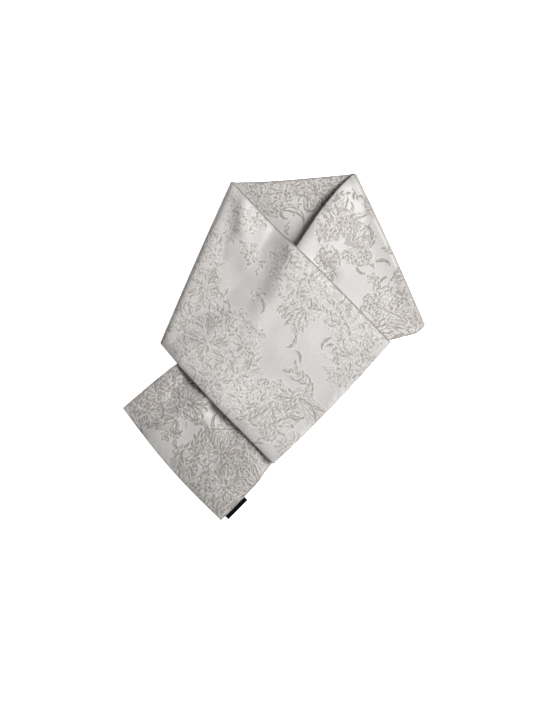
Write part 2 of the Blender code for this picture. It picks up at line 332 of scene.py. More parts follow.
def strokePlaces(spots, path, halfWidths):
    # where spots lie against a stroke: from its edge, its half width there, share along, side
    start, run = path[:-1], path[1:] - path[:-1]
    offset = spots[:, None, :] - start[None]
    share = np.clip((offset * run).sum(-1) / (run * run).sum(-1), 0.0, 1.0)
    distance = np.linalg.norm(offset - share[..., None] * run, axis=-1)
    halfWidth = halfWidths[:-1] + (halfWidths[1:] - halfWidths[:-1]) * share
    depth = distance - halfWidth
    pick = np.arange(len(spots)), depth.argmin(axis=1)
    half = np.maximum(halfWidth[pick], 0.5)
    along = (pick[1] + share[pick]) / len(start)
    turned = run[pick[1], 0] * offset[pick][:, 1] - run[pick[1], 1] * offset[pick][:, 0]
    return depth[pick], half, along, np.sign(turned) * distance[pick] / half


def brush(drawing, path, halfWidths, tone=0.5, outline=0.9, veins=False, shade=1.0, rim=1.0):
    # draw one petal, leaf or stem over what is already there; shade is the darker side, 1 or -1
    reach = float(np.max(halfWidths)) + figure["margin"]
    low, high = path.min(axis=0) - reach, path.max(axis=0) + reach
    spots = drawing["spots"]
    near = np.nonzero(((spots > low) & (spots < high)).all(axis=1))[0]
    if len(near) == 0:
        return
    edge, half, along, side = strokePlaces(spots[near], path, halfWidths)
    side = shade * side
    uneven = np.sin(along * 19.0 + side * 3.0 + path[0, 0]) * np.minimum(half / 4.0, 1.0)
    edge = edge + figure["ruffle"] * uneven
    body = smoothStep(0.5 - edge)
    clear = smoothStep((figure["clearing"] - edge) / figure["clearFade"])
    bare = smoothStep((0.4 * figure["clearing"] - edge) / figure["clearFade"])
    heavy = 0.55 + 0.45 * smoothStep(side * 0.8 + 0.5)
    light = 0.50 + 0.50 * smoothStep(0.5 - side * 0.8)
    broad = smoothStep((half - 1.6) / 1.4)
    fromInner = edge - figure["innerAt"]
    pale = rim * np.maximum(0.75 * bell(edge - figure["paleAt"], figure["paleWidth"]),
                            light * broad * bell(fromInner, figure["innerWidth"]))
    line = outline * heavy * bell(edge - figure["lineAt"], figure["lineWidth"])
    if veins:
        wave = np.cos(2.0 * pi * fromInner / figure["ribEvery"])
        ribs = smoothStep((0.9 - along) * 4.0) * smoothStep(figure["ribsFrom"] - edge) * body
        pale = np.maximum(pale, 0.7 * ribs * np.clip(wave, 0.0, 1.0) ** 1.5)
        line = np.maximum(line, 0.45 * ribs * np.clip(-wave, 0.0, 1.0) ** 1.5)
    depth = figure["leastFill"] + (1.0 - figure["leastFill"]) * tone
    fill = depth * body * np.clip(0.85 + 0.35 * side + 0.25 * (0.5 - along), 0.2, 1.2)
    for key, value, cover in zip(drawnFields, (fill, line, pale), (bare, clear, clear)):
        field = drawing[key]
        field[near] = field[near] * (1.0 - cover) + value * cover


def wash(drawing, x, y, size, tone):
    # a soft patch of figure that fills the gaps between petals
    spots = drawing["spots"]
    away = np.linalg.norm(spots - (x, y), axis=1) / size
    heading = np.arctan2(spots[:, 1] - y, spots[:, 0] - x)
    away = away + 0.10 * np.sin(heading * 5.0 + x) + 0.06 * np.sin(heading * 11.0 + y)
    cover = smoothStep((1.0 - away) * 5.0)
    drawing["fill"] = np.maximum(drawing["fill"], tone * cover)


def drawThicket(drawing, x, y, size, turn, hand, chance):
    # small leaves crowded together, all leaning much the same way
    wash(drawing, x, y, size * 0.88, 0.36)
    for _ in range(int(size * size * figure["leavesPerArea"])):
        away, around = size * 0.92 * chance.random() ** 0.5, chance.uniform(0.0, 2.0 * pi)
        place = x + away * cos(around), y + away * sin(around)
        lean = hand * 0.9 * sin(place[0] * 0.09 + place[1] * 0.07)
        heading = radians(turn) + lean + chance.uniform(-0.5, 0.5)
        length = chance.uniform(*figure["leafLength"])
        path = bentPath(*place, heading, length, chance.uniform(-2.0, 2.0), curl=1.3,
                        sway=chance.uniform(-0.4, 0.4))
        brush(drawing, path, leafWidths(chance.uniform(*figure["leafHalf"])),
              tone=chance.uniform(0.0, 0.9), veins=True, outline=chance.uniform(0.3, 1.0),
              shade=chance.choice((-1.0, 1.0)))


def petalWidths(halfWidth, widest=0.62):
    # narrow root, broad shoulder, round tip
    t = np.linspace(0.0, 1.0, 9)
    rising = np.sin(pi / 2 * (0.15 + 0.85 * t / widest))
    falling = np.cos(pi / 2 * 0.78 * (t - widest) / (1 - widest))
    return halfWidth * np.where(t < widest, rising, falling)


def leafWidths(halfWidth, steps=9):
    # widest below the middle, pointed tip
    t = np.linspace(0.0, 1.0, steps)
    return halfWidth * np.sin(pi * np.clip(0.10 + 0.90 * t, 0, 1) ** 0.8) + 0.15


def ringHeading(turn, ring, petal, count):
    # each second ring is turned by half a petal
    return radians(turn) + 2 * pi * (petal + 0.5 * (ring % 2)) / count


def drawBloom(drawing, x, y, size, turn, hand, chance):
    # many curling petals, the outermost drawn first
    wash(drawing, x, y, size * 0.88, 0.40)
    for ring, (share, count) in enumerate(figure["petalRings"]):
        for petal in range(count):
            heading = ringHeading(turn, ring, petal, count) + chance.uniform(-0.26, 0.26)
            root = size * share * chance.uniform(0.10, 0.32)
            length = size * share * chance.uniform(0.82, 1.15) - root
            half = max(2.1, size * share * chance.uniform(0.13, 0.23))
            bend = hand * chance.uniform(0.4, 2.0) * chance.choice((1, 1, -0.6))
            path = bentPath(x + root * cos(heading), y + root * sin(heading), heading - bend * 0.35,
                            length, bend, curl=1.4, sway=chance.uniform(-0.3, 0.3))
            widths = petalWidths(half) if chance.random() < 0.6 else leafWidths(half)
            brush(drawing, path, widths, tone=chance.uniform(0.1, 1.0), veins=half > 2.8,
                  outline=chance.uniform(0.4, 1.0), shade=chance.choice((-1.0, 1.0)))


def drawCamellia(drawing, x, y, size, turn, hand, chance):
    # broad ruffled petals round a small heart
    for ring, (share, count) in enumerate(figure["petalRings"]):
        for petal in range(count):
            heading = ringHeading(turn, ring, petal, count) + chance.uniform(-0.2, 0.2)
            half = size * share * chance.uniform(0.20, 0.30)
            root = size * share * 0.22
            path = bentPath(x + root * cos(heading), y + root * sin(heading), heading,
                            size * share * chance.uniform(0.42, 0.58), hand * chance.uniform(0.2, 1.0))
            brush(drawing, path, petalWidths(half, widest=0.8), tone=chance.uniform(0.2, 0.7),
                  veins=half > 7, shade=float(hand))


def drawBlossom(drawing, x, y, size, turn, hand, chance):
    # five small round petals round an eye
    for petal in range(5):
        heading = radians(turn) + 2 * pi * petal / 5
        path = bentPath(x + size * 0.58 * cos(heading), y + size * 0.58 * sin(heading), heading,
                        size * 0.10, 0.0, steps=4)
        brush(drawing, path, np.full(4, max(2.3, size * 0.38)), tone=0.3, outline=0.85)
    eye = bentPath(x - 0.3, y, 0.0, 0.6, 0.0, steps=3)
    brush(drawing, eye, np.full(3, size * 0.15), tone=1.0, rim=0.0)


def drawAcanthus(drawing, x, y, size, turn, hand, chance):
    # long curling lobes fanned out along a curved spine
    spine = bentPath(x, y, radians(turn), size * 0.8, hand * 0.9, steps=10)
    headings = np.arctan2(np.diff(spine[:, 1]), np.diff(spine[:, 0]))
    for knot in (2, 5, 7):
        wash(drawing, *spine[knot], size * 0.24, 0.45)
    for knot in (0, 2, 3, 5, 6, 7):
        for side in (-1, 1):
            share = knot / 8.0
            length = size * (0.60 - 0.30 * share) * chance.uniform(0.7, 1.2)
            heading = headings[knot] + side * (1.0 - 0.55 * share) * chance.uniform(0.7, 1.3)
            path = bentPath(*spine[knot], heading, length, side * chance.uniform(-1.6, -0.3), curl=1.5,
                            sway=chance.uniform(-0.2, 0.2))
            brush(drawing, path, leafWidths(length * 0.14 + 0.7), tone=chance.uniform(0.25, 1.0),
                  veins=length > 14, shade=float(side) * hand, outline=chance.uniform(0.5, 1.0))
    brush(drawing, spine, leafWidths(size * 0.07 + 0.9, steps=10), tone=0.7, veins=True)


def drawSpray(drawing, x, y, size, turn, hand, chance):
    # a thin stem with slender leaves on alternate sides and one at the tip
    stem = bentPath(x, y, radians(turn), size, hand * 0.9, steps=12)
    headings = np.arctan2(np.diff(stem[:, 1]), np.diff(stem[:, 0]))
    brush(drawing, stem, np.linspace(0.6, 0.2, 12), tone=0.9, outline=0.8)
    for knot in (2, 4, 5, 7, 8, 10):
        side = 1 if knot % 2 else -1
        length = size * (0.46 - 0.20 * knot / 11.0) * chance.uniform(0.7, 1.2)
        heading = headings[knot - 1] + side * chance.uniform(0.4, 1.1)
        path = bentPath(*stem[knot], heading, length, -side * chance.uniform(0.3, 1.5), curl=1.4)
        brush(drawing, path, leafWidths(max(1.3, length * 0.16)), tone=chance.uniform(0.3, 1.0),
              veins=length > 14, shade=float(side) * hand)
    tip = bentPath(*stem[-1], headings[-1], size * 0.24, hand * 0.6)
    brush(drawing, tip, leafWidths(size * 0.05), tone=0.7)


def drawHook(drawing, x, y, size, turn, hand, chance):
    # one slender leaf that curls over at the tip
    path = bentPath(x, y, radians(turn), size * 1.3, hand * 1.9, steps=12, curl=1.6)
    brush(drawing, path, leafWidths(size * 0.12, steps=12), tone=0.8, veins=True, shade=float(hand))


def drawFan(drawing, x, y, size, turn, hand, chance):
    # ribbed petals opening like a shell
    for petal in range(7):
        spread = (petal - 3) / 3.0
        heading = radians(turn) + hand * spread * 0.95
        path = bentPath(x, y, heading, size * chance.uniform(0.8, 1.05), hand * spread * 0.7)
        brush(drawing, path, petalWidths(size * 0.16, widest=0.7), tone=chance.uniform(0.2, 0.6),
              veins=True, shade=1.0 if spread > 0 else -1.0)


# every one of them takes its place, size, turn in degrees, hand (1 or -1) and its own random draws
drawMotif = {
    "bloom": drawBloom, "camellia": drawCamellia, "blossom": drawBlossom, "fan": drawFan,
    "acanthus": drawAcanthus, "spray": drawSpray, "hook": drawHook, "thicket": drawThicket,
}


def drawFigure(motifs, spots, seed):
    # how much fill, drawn line and light line lies on each spot of the cloth
    drawing = {"spots": spots, **{key: np.zeros(len(spots)) for key in drawnFields}}
    rows = [(drawMotif[kind], row) for kind, places in motifs for row in places]
    for index, (draw, row) in enumerate(rows):
        draw(drawing, *row, np.random.default_rng(seed + index))
    return drawing


# the roll of a side seam and of the end seam: share of the height, share of the roll's reach
seamProfile = ((0.84, 0.75), (0.62, 1.0), (0.5, 0.45), (0.38, 1.0), (0.16, 0.75))
endProfile = ((0.68, 0.75), (0.24, 1.0), (0.06, 0.4))


def seamPoints(outer, inner):
    # rolled edge with the seam line sunk into it, for both sides of each ring
    sides = []
    for end, beside in ((-1, -2), (0, 1)):
        top, bottom = outer[:, end], inner[:, end]
        out = unit(outer[:, end, :2] - outer[:, beside, :2])
        points = []
        for share, reach in seamProfile:
            point = bottom + (top - bottom) * share
            point = point + np.pad(out * cloth["seamRoll"] * reach, ((0, 0), (0, 1)))
            points.append(point)
        sides.append(np.stack(points, axis=1))
    return sides


def ringMesh(name, rings, fields, uvs):
    # closed mesh through rings of points, with the figure and the painted shade of seams, fold and end
    # stored on its points
    count, size = rings.shape[:2]
    index = np.arange(count * size).reshape(count, size)
    after = np.roll(index, -1, axis=1)
    quads = np.stack([index[:-1], after[:-1], after[1:], index[1:]], axis=-1).reshape(-1, 4)
    points = rings.reshape(-1, 3) * mm
    faces = quads.tolist() + [index[0].tolist(), index[-1][::-1].tolist()]
    mesh = bpy.data.meshes.new(name)
    mesh.from_pydata(points.tolist(), [], faces)
    if signedVolume(points, quads) < 0.0:
        mesh.flip_normals()
    for label, values in fields.items():
        mesh.attributes.new(label, "FLOAT", "POINT").data.foreach_set("value", values.astype(np.float32))
    corner = np.empty(len(mesh.loops), dtype=np.int32)
    mesh.loops.foreach_get("vertex_index", corner)
    layer = mesh.uv_layers.new(name="flatCloth")
    layer.data.foreach_set("uv", (uvs.reshape(-1, 2)[corner] * mm).astype(np.float32).ravel())
    mesh.shade_smooth()
    mesh.validate()
    piece = bpy.data.objects.new(name, mesh)
    bpy.context.scene.collection.objects.link(piece)
    return piece


def signedVolume(points, quads):
    # below 0 where the faces look inwards
    a, b, c, d = (points[quads[:, k]] for k in range(4))
    return float((a * np.cross(b, c)).sum() + (a * np.cross(c, d)).sum())


def stripCoordinates(rows, along, across):
    # place on the flat strip: along it measured back from its end, and across it
    fine = np.linspace(0.0, 1.0, 400)
    seams = seamCurve(rows, fine)
    lengths = []
    for first in (0, 2):
        steps = np.linalg.norm(np.diff(seams[:, first:first + 2], axis=0), axis=-1)
        lengths.append(np.concatenate([[0.0], np.cumsum(steps)]))
    neck, low = (np.interp(along, fine, length - length[-1]) for length in lengths)
    u = neck[:, None] * (1 - across) + low[:, None] * across
    v = np.broadcast_to(across * cloth["width"], u.shape)
    return np.stack([u, v], axis=-1)


def alongShares(piece):
    # rings closer together where the cloth shows
    hiddenFrom, hiddenTo = piece.get("hidden", (1.0, 1.0))
    shares = np.linspace(0.0, 1.0, 200)
    weights = np.where((shares > hiddenFrom) & (shares < hiddenTo), 0.3, 1.0)
    total = np.concatenate([[0.0], np.cumsum(weights[:-1])])
    return np.interp(np.linspace(0.0, total[-1], piece["rings"]), total, shares)


def turnedSheet(piece, across, strip, isTop):
    # one face of the turn, its places before it was folded and its places on the flat strip
    steps = piece["foldRings"]
    outer, inner, flat = foldSheets(piece, steps, across)
    arc = (pi - pi * np.arange(steps) / steps) * cloth["foldReach"]
    turned = strip[:1] - np.stack([arc, np.zeros_like(arc)], axis=-1)[:, None]
    return outer if isTop else inner, flat, turned


def makeStretch(name, piece, floorHeight):
    rows = planRows(piece)
    along = alongShares(piece)
    if piece["folded"]:
        along = along * (1.0 - cloth["seamRoll"] / cloth["stretchLength"])      # room for the rolled end
    faces = []
    for columns, isTop in ((piece["fineColumns"], True), (piece["coarseColumns"], False)):
        across = acrossShares(columns)
        place, lower, upper = layerHeights(piece, rows, along, across, floorHeight)
        height = upper if isTop else lower
        strip = stripCoordinates(rows, along, across)
        face = [np.concatenate([place, height[..., None]], axis=-1), place, strip]
        if piece["folded"]:
            turned = turnedSheet(piece, across, strip, isTop)
            face = [np.concatenate(pair) for pair in zip(turned, face)]
        faces.append(face)
    return joinSheets(name, piece, *zip(*faces))


# how the painted shade fades away from a seam and from a fold, in columns and rings of points
edgeFade = {"seamRoll": 0.9, "rollFade": 0.35, "bandFade": 6.0, "foldFade": 7.0}


def edgeShade(piece, ringCount, size, topCount):
    # painted shade: how much darker the colour is made in its rolled seams, in a soft band beside them, at
    # its fold and by its end
    shade = np.zeros((ringCount, size))
    column = np.arange(topCount)
    for (roll, band), beside in ((piece["neckShade"], column), (piece["lowShade"], column[::-1])):
        side = np.maximum(roll * (edgeFade["seamRoll"] - edgeFade["rollFade"] * beside),
                          band * np.exp(-beside / edgeFade["bandFade"]))
        shade[:, :topCount] = np.maximum(shade[:, :topCount], side)
    seamCount = len(seamProfile)
    shade[:, topCount:topCount + seamCount] = piece["lowShade"][0]
    shade[:, -seamCount:] = piece["neckShade"][0]
    if piece["folded"]:
        turned, power, band = piece["turnShade"]
        steps, ring = piece["foldRings"], np.arange(ringCount)
        inTurn = turned * np.sin(np.minimum(pi * ring / steps, pi)) ** power
        after = band * np.exp(-np.abs(ring - steps) / edgeFade["foldFade"])
        atEnd = piece["endShade"] * np.exp(-ring[::-1] / edgeFade["foldFade"])
        shade = np.maximum(shade, np.maximum(np.maximum(inTurn, after), atEnd)[:, None])
    return shade


def joinSheets(name, piece, sheets, flats, strips):
    # rings of top, seam, underside and seam again, closed by a rolled end
    top, under = sheets
    topCount, seamCount = top.shape[1], len(seamProfile)
    seamB, seamA = seamPoints(top, under)
    rings = np.concatenate([top, seamB, under[:, ::-1], seamA[:, ::-1]], axis=1)

    def around(pair):
        first, second = pair
        last = np.repeat(first[:, -1:], seamCount, axis=1)
        start = np.repeat(first[:, :1], seamCount, axis=1)
        return np.concatenate([first, last, second[:, ::-1], start], axis=1)

    flat, strip = around(flats), around(strips)
    otherFace = np.zeros(rings.shape[:2], dtype=bool)
    otherFace[:, topCount + seamCount // 2:-seamCount // 2] = True
    paintedShade = edgeShade(piece, *rings.shape[:2], topCount)
    if piece["folded"]:
        rings, flat, strip, paintedShade = rollEnd(rings, flat, strip, paintedShade, topCount)
        otherFace = np.concatenate([otherFace, np.repeat(otherFace[-1:], len(endProfile), axis=0)])
    fields = bothFaces(piece, flat.reshape(-1, 2), otherFace.ravel())
    print(name, "has", rings.shape[0] * rings.shape[1], "points")
    return ringMesh(name, rings, {**fields, "seam": paintedShade.ravel()}, strip)


def bothFaces(piece, spots, otherFace):
    # the face that shows has its own flowers, the one against the table has some of all of them
    fields = {key: np.zeros(len(spots)) for key in drawnFields}
    everything = neckStretch["motifs"] + underStretch["motifs"] + overStretch["motifs"]
    for face, motifs, shift in ((~otherFace, piece["motifs"], 0.0),
                                (otherFace, everything, figure["backShift"])):
        drawn = drawFigure(motifs, spots[face] + shift, cloth["seed"] * 100)
        for key, values in fields.items():
            values[face] = drawn[key]
    # painted shade: fill and line made darker piece by piece and from left to right, standing in for how the
    # satin turns to the light
    for key in ("fill", "line"):
        fields[key] *= np.interp(spots[:, 0], figure["sides"], piece[key])
    return fields


def rollEnd(rings, flat, strip, paintedShade, topCount):
    # the end seam: the last ring closes towards half height in the same roll as the sides
    last = rings[-1]
    ahead = unit((last - rings[-2])[:, :2])
    seamCount, added = len(seamProfile), len(endProfile)
    underCount = len(last) - topCount - 2 * seamCount
    under = slice(topCount + seamCount, topCount + seamCount + underCount)
    across, underAcross = np.linspace(0.0, 1.0, topCount), np.linspace(0.0, 1.0, underCount)
    topZ, underZ = last[:topCount, 2], last[under, 2][::-1]
    middle = np.empty(len(last))
    middle[:topCount] = (topZ + np.interp(across, underAcross, underZ)) / 2
    middle[under] = ((np.interp(underAcross, across, topZ) + underZ) / 2)[::-1]
    middle[topCount:topCount + seamCount] = middle[topCount - 1]
    middle[-seamCount:] = middle[0]
    for share, reach in endProfile:
        ring = last.copy()
        ring[:, :2] += ahead * cloth["seamRoll"] * reach
        ring[:, 2] = middle + (last[:, 2] - middle) * share
        rings = np.concatenate([rings, ring[None]])
    flat, strip = (np.concatenate([part, np.repeat(part[-1:], added, axis=0)]) for part in (flat, strip))
    # the rolled end takes the full painted shade
    return rings, flat, strip, np.concatenate([paintedShade, np.ones((added, paintedShade.shape[1]))])


def addNode(tree, kind, **settings):
    node = tree.nodes.new(kind)
    for key, value in settings.items():
        setattr(node, key, value)
    return node


def setOrLink(tree, socket, value):
    # a number or a colour is set on the socket, anything else is linked to it
    if isinstance(value, tuple):
        socket.default_value = (*value, 1.0)
    elif isinstance(value, (int, float)):
        socket.default_value = value
    else:
        tree.links.new(value, socket)


def newMaterial(name, settings):
    # a material whose shader has these fixed values
    material = bpy.data.materials.new(name)
    material.use_nodes = True
    shader = material.node_tree.nodes["Principled BSDF"]
    for socket, value in settings.items():
        shader.inputs[socket].default_value = value
    return material, material.node_tree, shader


def mathNode(tree, operation, *values):
    node = addNode(tree, "ShaderNodeMath", operation=operation)
    for socket, value in zip(node.inputs, values):
        setOrLink(tree, socket, value)
    return node.outputs[0]


def mixColour(tree, share, first, second):
    node = addNode(tree, "ShaderNodeMix", data_type="RGBA")
    for place, value in ((0, share), (6, first), (7, second)):
        setOrLink(tree, node.inputs[place], value)
    return node.outputs[2]


def ramp(tree, value, low, high):
    node = addNode(tree, "ShaderNodeMapRange", interpolation_type="SMOOTHSTEP")
    node.inputs["From Min"].default_value = low
    node.inputs["From Max"].default_value = high
    tree.links.new(value, node.inputs["Value"])
    return node.outputs["Result"]


def addBump(tree, height, strength, distance):
    node = addNode(tree, "ShaderNodeBump")
    node.inputs["Strength"].default_value = strength
    node.inputs["Distance"].default_value = distance
    tree.links.new(height, node.inputs["Height"])
    return node


def threadNoise(tree, vector, alongScale, acrossScale, detail=2.0):
    # noise drawn out into threads
    stretch = addNode(tree, "ShaderNodeMapping")
    stretch.inputs["Scale"].default_value = (alongScale, acrossScale, 1.0)
    tree.links.new(vector, stretch.inputs["Vector"])
    noise = addNode(tree, "ShaderNodeTexNoise", noise_dimensions="2D")
    noise.inputs["Scale"].default_value = 1.0
    noise.inputs["Detail"].default_value = detail
    tree.links.new(stretch.outputs[0], noise.inputs["Vector"])
    return noise.outputs[0]


jacquardLook = {
    "ground": (0.492, 0.479, 0.464),
    "figure": (0.325, 0.301, 0.285),
    "line": (0.252, 0.229, 0.213),
    "gleam": (0.565, 0.549, 0.531),
    # painted shade, laid on at the seams, the fold and the end
    "seam": (0.150, 0.140, 0.132),
    "lineShare": 0.85, "gleamShare": 0.9, "seamShare": 0.6,     # how strongly each is laid on
    # how much drawing it takes for the colour to begin and to be full
    "fillEdge": (0.05, 0.95), "lineEdge": (0.10, 0.75), "gleamEdge": (0.08, 0.70), "mattEdge": (0.06, 0.34),
    "fray": 0.35,                # how far the yarns step the edges of the figure
    "groundRough": 0.50,
    "figureRough": 0.72,
    "groundShine": 0.14,
    "shader": {"Sheen Weight": 0.12, "Sheen Roughness": 0.5, "Specular IOR Level": 0.25},
    "warp": (420.0, 3100.0),     # threads of the satin ground, per metre
    "weft": (2600.0, 380.0),     # threads of the figure
    "slub": (120.0, 620.0),      # thicker places in the yarn
    "cloud": (22.0, 22.0),       # broad uneven places in the ground
    "warpShade": 0.16, "slubShade": 0.22, "cloudShade": 0.16, "threadBase": 0.92,
    "threadRelief": (0.22, 0.0003), "figureRelief": (0.35, 0.0003),     # strength, height in metres
}


def jacquardColour(tree, uv, fields, warp, weft):
    look = jacquardLook

    def laidOn(colour, share, name):
        return mixColour(tree, mathNode(tree, "MULTIPLY", share, look[name + "Share"]), colour, look[name])

    # the yarns give every edge of the figure a slightly stepped outline
    fray = mathNode(tree, "MULTIPLY", mathNode(tree, "SUBTRACT", weft, 0.5), look["fray"])
    fill, line, gleam = (ramp(tree, mathNode(tree, "ADD", fields[name], fray), *look[name + "Edge"])
                         for name in drawnFields)
    cloud = mathNode(tree, "MULTIPLY", threadNoise(tree, uv, *look["cloud"], detail=3.0), look["cloudShade"])
    colour = mixColour(tree, fill, mixColour(tree, cloud, look["ground"], look["gleam"]), look["figure"])
    colour = laidOn(colour, gleam, "gleam")
    colour = laidOn(colour, line, "line")
    # painted shade: darker colour at the seams, at the fold and by the end
    colour = laidOn(colour, fields["seam"], "seam")
    slub = mathNode(tree, "MULTIPLY", threadNoise(tree, uv, *look["slub"]), look["slubShade"])
    base = look["threadBase"] - look["slubShade"] / 2.0
    speck = mathNode(tree, "MULTIPLY_ADD", warp, look["warpShade"], base)
    tinted = addNode(tree, "ShaderNodeVectorMath", operation="SCALE")
    tree.links.new(colour, tinted.inputs[0])
    tree.links.new(mathNode(tree, "ADD", speck, slub), tinted.inputs["Scale"])
    return tinted.outputs[0]


def makeJacquard():
    look = jacquardLook
    material, tree, shader = newMaterial("silverJacquard", look["shader"])
    uv = addNode(tree, "ShaderNodeUVMap", uv_map="flatCloth").outputs[0]
    fields = {name: addNode(tree, "ShaderNodeAttribute", attribute_name=name).outputs["Fac"]
              for name in (*drawnFields, "seam")}
    warp = threadNoise(tree, uv, *look["warp"])
    weft = threadNoise(tree, uv, *look["weft"])
    tree.links.new(jacquardColour(tree, uv, fields, warp, weft), shader.inputs["Base Color"])
    drawn = mathNode(tree, "MAXIMUM", mathNode(tree, "MAXIMUM", fields["fill"], fields["line"]),
                     fields["gleam"])
    matt = ramp(tree, drawn, *look["mattEdge"])
    rougher = look["figureRough"] - look["groundRough"]
    rough = mathNode(tree, "MULTIPLY_ADD", matt, rougher, look["groundRough"])
    shine = mathNode(tree, "MULTIPLY_ADD", matt, -look["groundShine"], look["groundShine"])
    tree.links.new(rough, shader.inputs["Roughness"])
    tree.links.new(shine, shader.inputs["Metallic"])
    tree.links.new(clothRelief(tree, warp, weft, matt), shader.inputs["Normal"])
    return material


def clothRelief(tree, warp, weft, matt):
    # threads first, then the figure standing a little proud of the ground
    ground = mathNode(tree, "MULTIPLY", warp, mathNode(tree, "SUBTRACT", 1.0, matt))
    threads = mathNode(tree, "ADD", ground, mathNode(tree, "MULTIPLY", weft, matt))
    fine = addBump(tree, threads, *jacquardLook["threadRelief"])
    proud = addBump(tree, matt, *jacquardLook["figureRelief"])
    tree.links.new(fine.outputs[0], proud.inputs["Normal"])
    return proud.outputs[0]


labelLook = {
    "valley": (0.002, 0.002, 0.0025), "rib": (0.006, 0.006, 0.007),
    "threads": 2600.0,           # per metre
    "shader": {"Roughness": 0.9, "Specular IOR Level": 0.05},
    "relief": (0.4, 0.0002),     # strength, height in metres
}


def makeLabelTape():
    look = labelLook
    material, tree, shader = newMaterial("blackTape", look["shader"])
    place = addNode(tree, "ShaderNodeTexCoord").outputs["Object"]
    ribs = threadNoise(tree, place, look["threads"], look["threads"])
    tree.links.new(mixColour(tree, ribs, look["valley"], look["rib"]), shader.inputs["Base Color"])
    tree.links.new(addBump(tree, ribs, *look["relief"]).outputs[0], shader.inputs["Normal"])
    return material


# fill and line are painted shade: how dark the figure is made at the left and at the right, standing in
# for how the satin turns to the light.  neckShade and lowShade are the painted shade of a rolled seam and
# of a soft band beside it, turnShade the painted shade of the turn, how fast that falls off and the band
# after it, and endShade the painted shade by the end seam.  endReach is how far from its end the wadding
# is full, drapeReach how softly it lies over what is below, and hidden the stretch of its length with
# fewer rings.
neckStretch = {
    "fill": (1.75, 1.75), "line": (1.08, 1.08), "neckShade": (1.0, 0.0), "lowShade": (1.0, 0.0),
    "fold": leftFold, "lastFold": rightFold, "folded": False,
    "rings": 210, "fineColumns": 190, "coarseColumns": 100,
    # along, neck seam x y, low seam x y, bow
    "stations": [
        (0.35, -1.5, 248.0, -27.0, 10.5, 0.0),
        (0.70, 66.0, 253.6, 99.0, 19.5, 0.0),
    ],
    # from x y, to x y, height, spread
    "creases": [
        (120, 256, 44, 148, 5.2, 24),
        (-66, 238, 20, 152, -5.0, 18),
    ],
    # kind, then x, y, size, turn, hand of each
    "motifs": [
        ("thicket", [(-44, 238, 20, 350, 1), (12, 235, 21, 20, 1), (39, 239, 16, 60, -1),
            (-12, 211, 18, 30, 1), (60, 229, 18, 80, 1)]),
        ("acanthus", [(51, 202, 33, 70, 1)]),
        ("thicket", [(-24, 232, 24, 40, 1), (84, 226, 30, 80, -1), (0, 208, 18, 0, 1)]),
        ("acanthus", [(72, 212, 36, 60, 1), (93, 220, 39, 100, -1), (63, 226, 24, 80, 1)]),
        ("bloom", [(-18, 226, 24, 30, 1), (15, 230, 18, 0, 1)]),
        ("spray", [(44, 214, 21, 200, 1), (-42, 241, 30, 350, 1)]),
        ("bloom", [(3, 205, 16, 0, -1), (87, 232, 18, 0, 1)]),
        ("blossom", [(32, 232, 6, 0, 1)]),
        ("hook", [(15, 205, 33, 5, -1)]),
        ("spray", [(24, 187, 18, 230, 1), (-9, 241, 21, 20, 1)]),
        ("hook", [(9, 202, 15, 280, 1)]),
    ],
}

